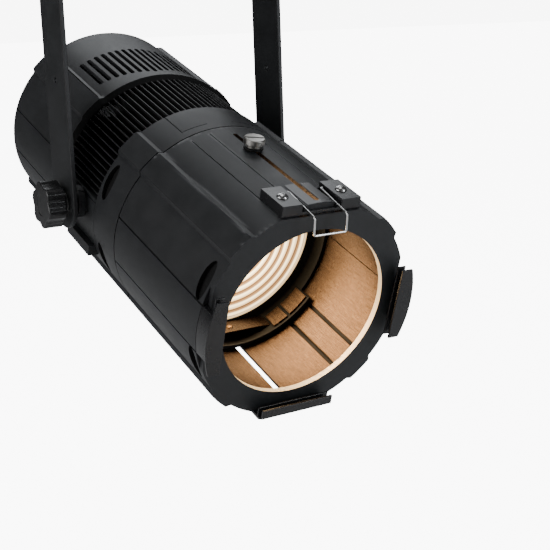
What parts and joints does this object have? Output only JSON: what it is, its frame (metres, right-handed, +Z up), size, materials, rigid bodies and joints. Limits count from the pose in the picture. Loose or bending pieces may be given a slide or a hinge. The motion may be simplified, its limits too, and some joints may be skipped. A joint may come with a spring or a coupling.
{
  "type": "ellipsoidal spotlight",
  "caption": "LED stage spotlight: lens tube with sliding lens carriage, finned heatsink, rear housing with fan and control panel, frame guides with wire clip, on a tilting U-shaped yoke.",
  "frame": {"origin": "centre of the hanging hole on the yoke's top face", "axes": "+Z up along the yoke, -Y the way the lamp points, X along the tilt axis"},
  "size_m": [0.2648, 0.4781, 0.4049],
  "materials": {
    "powder_coat": "black satin textured powder coat on die-cast aluminium",
    "yoke_coat": "black satin textured powder coat on flat steel bar",
    "black_metal": "black satin finish on sheet and turned aluminium",
    "heatsink_black": "black anodised extrusion",
    "black_plastic": "moulded black plastic, fine texture",
    "nickel": "satin nickel plate",
    "stainless": "bright stainless steel",
    "bare_metal": "satin bare aluminium",
    "clear_glass": "clear glass with concentric rings",
    "led_face": "warm white light source",
    "circuit_board": "green solder mask",
    "display": "dark glossy window",
    "socket_plastic": "black socket plastic"
  },
  "bodies": {
    "yoke": {"yoke": "yoke_coat"},
    "lamp": {"lens_tube": "powder_coat", "guide_left": "powder_coat", "guide_right": "powder_coat", "guide_bottom": "powder_coat", "collar": "powder_coat", "cradle": "powder_coat", "rear_housing": "powder_coat", "rear_cap": "powder_coat", "clip_bracket": "black_metal", "gate_plate": "black_metal", "condenser_ring": "black_metal", "heatsink": "heatsink_black", "friction_disc_left": "black_plastic", "friction_disc_right": "black_plastic", "fan_frame": "black_plastic", "fuse_holder": "black_plastic", "clip_screw_left": "nickel", "clip_screw_right": "nickel", "data_in_socket": "nickel", "data_out_socket": "nickel", "tilt_stud_left": "stainless", "tilt_stud_right": "stainless", "tilt_washer_left": "stainless", "tilt_washer_right": "stainless", "safety_eye": "stainless", "rear_screw_1": "stainless", "rear_screw_2": "stainless", "rear_screw_3": "stainless", "rear_screw_4": "stainless", "reflector": "bare_metal", "power_supply": "bare_metal", "condenser_lens": "clear_glass", "led_emitter": "led_face", "led_board": "circuit_board", "driver_board": "circuit_board", "display_window": "display", "power_inlet": "socket_plastic"},
    "left_tilt_knob": {"tilt_knob_left": "black_plastic"},
    "right_tilt_knob": {"tilt_knob_right": "black_plastic"},
    "focus_carriage": {"lens_carriage": "black_metal", "front_lens": "clear_glass", "lens_retainer": "black_metal"},
    "focus_knob": {"focus_knob": "nickel"},
    "frame_clip": {"frame_clip": "stainless"},
    "fan": {"fan_rotor": "black_plastic"},
    "button_1": {"button_1": "black_plastic"},
    "button_2": {"button_2": "black_plastic"},
    "button_3": {"button_3": "black_plastic"},
    "button_4": {"button_4": "black_plastic"}
  },
  "joints": [
    {"name": "tilt", "type": "hinge", "parent": "yoke", "child": "lamp", "pos_m": [0, 0, -0.24], "axis": [1, 0, 0], "range_deg": [-69, 71]},
    {"name": "left_tilt_knob_turn", "type": "hinge", "parent": "lamp", "child": "left_tilt_knob", "pos_m": [-0.122, 0, -0.24], "axis": [-1, 0, 0], "range_deg": [0, 360]},
    {"name": "right_tilt_knob_turn", "type": "hinge", "parent": "lamp", "child": "right_tilt_knob", "pos_m": [0.122, 0, -0.24], "axis": [1, 0, 0], "range_deg": [0, 360]},
    {"name": "focus", "type": "slide", "parent": "lamp", "child": "focus_carriage", "axis": [0, 0.9444, 0.3289], "range_m": [-0.076, 0.024]},
    {"name": "focus_knob_turn", "type": "hinge", "parent": "focus_carriage", "child": "focus_knob", "pos_m": [0, -0.14933, -0.18611], "axis": [0, -0.3289, 0.9444], "range_deg": [0, 360]},
    {"name": "frame_clip_swing", "type": "hinge", "parent": "lamp", "child": "frame_clip", "pos_m": [0, -0.22343, -0.21658], "axis": [-1, 0, 0], "range_deg": [0, 80]},
    {"name": "fan_spin", "type": "hinge", "parent": "lamp", "child": "fan", "pos_m": [0, 0.05237, -0.22176], "axis": [0, 0.9444, 0.3289], "continuous": true},
    {"name": "button_1_press", "type": "slide", "parent": "lamp", "child": "button_1", "axis": [0, -0.9444, -0.3289], "range_m": [0, 0.0015], "stiffness_N_per_m": 300},
    {"name": "button_2_press", "type": "slide", "parent": "lamp", "child": "button_2", "axis": [0, -0.9444, -0.3289], "range_m": [0, 0.0015], "stiffness_N_per_m": 300},
    {"name": "button_3_press", "type": "slide", "parent": "lamp", "child": "button_3", "axis": [0, -0.9444, -0.3289], "range_m": [0, 0.0015], "stiffness_N_per_m": 300},
    {"name": "button_4_press", "type": "slide", "parent": "lamp", "child": "button_4", "axis": [0, -0.9444, -0.3289], "range_m": [0, 0.0015], "stiffness_N_per_m": 300}
  ]
}
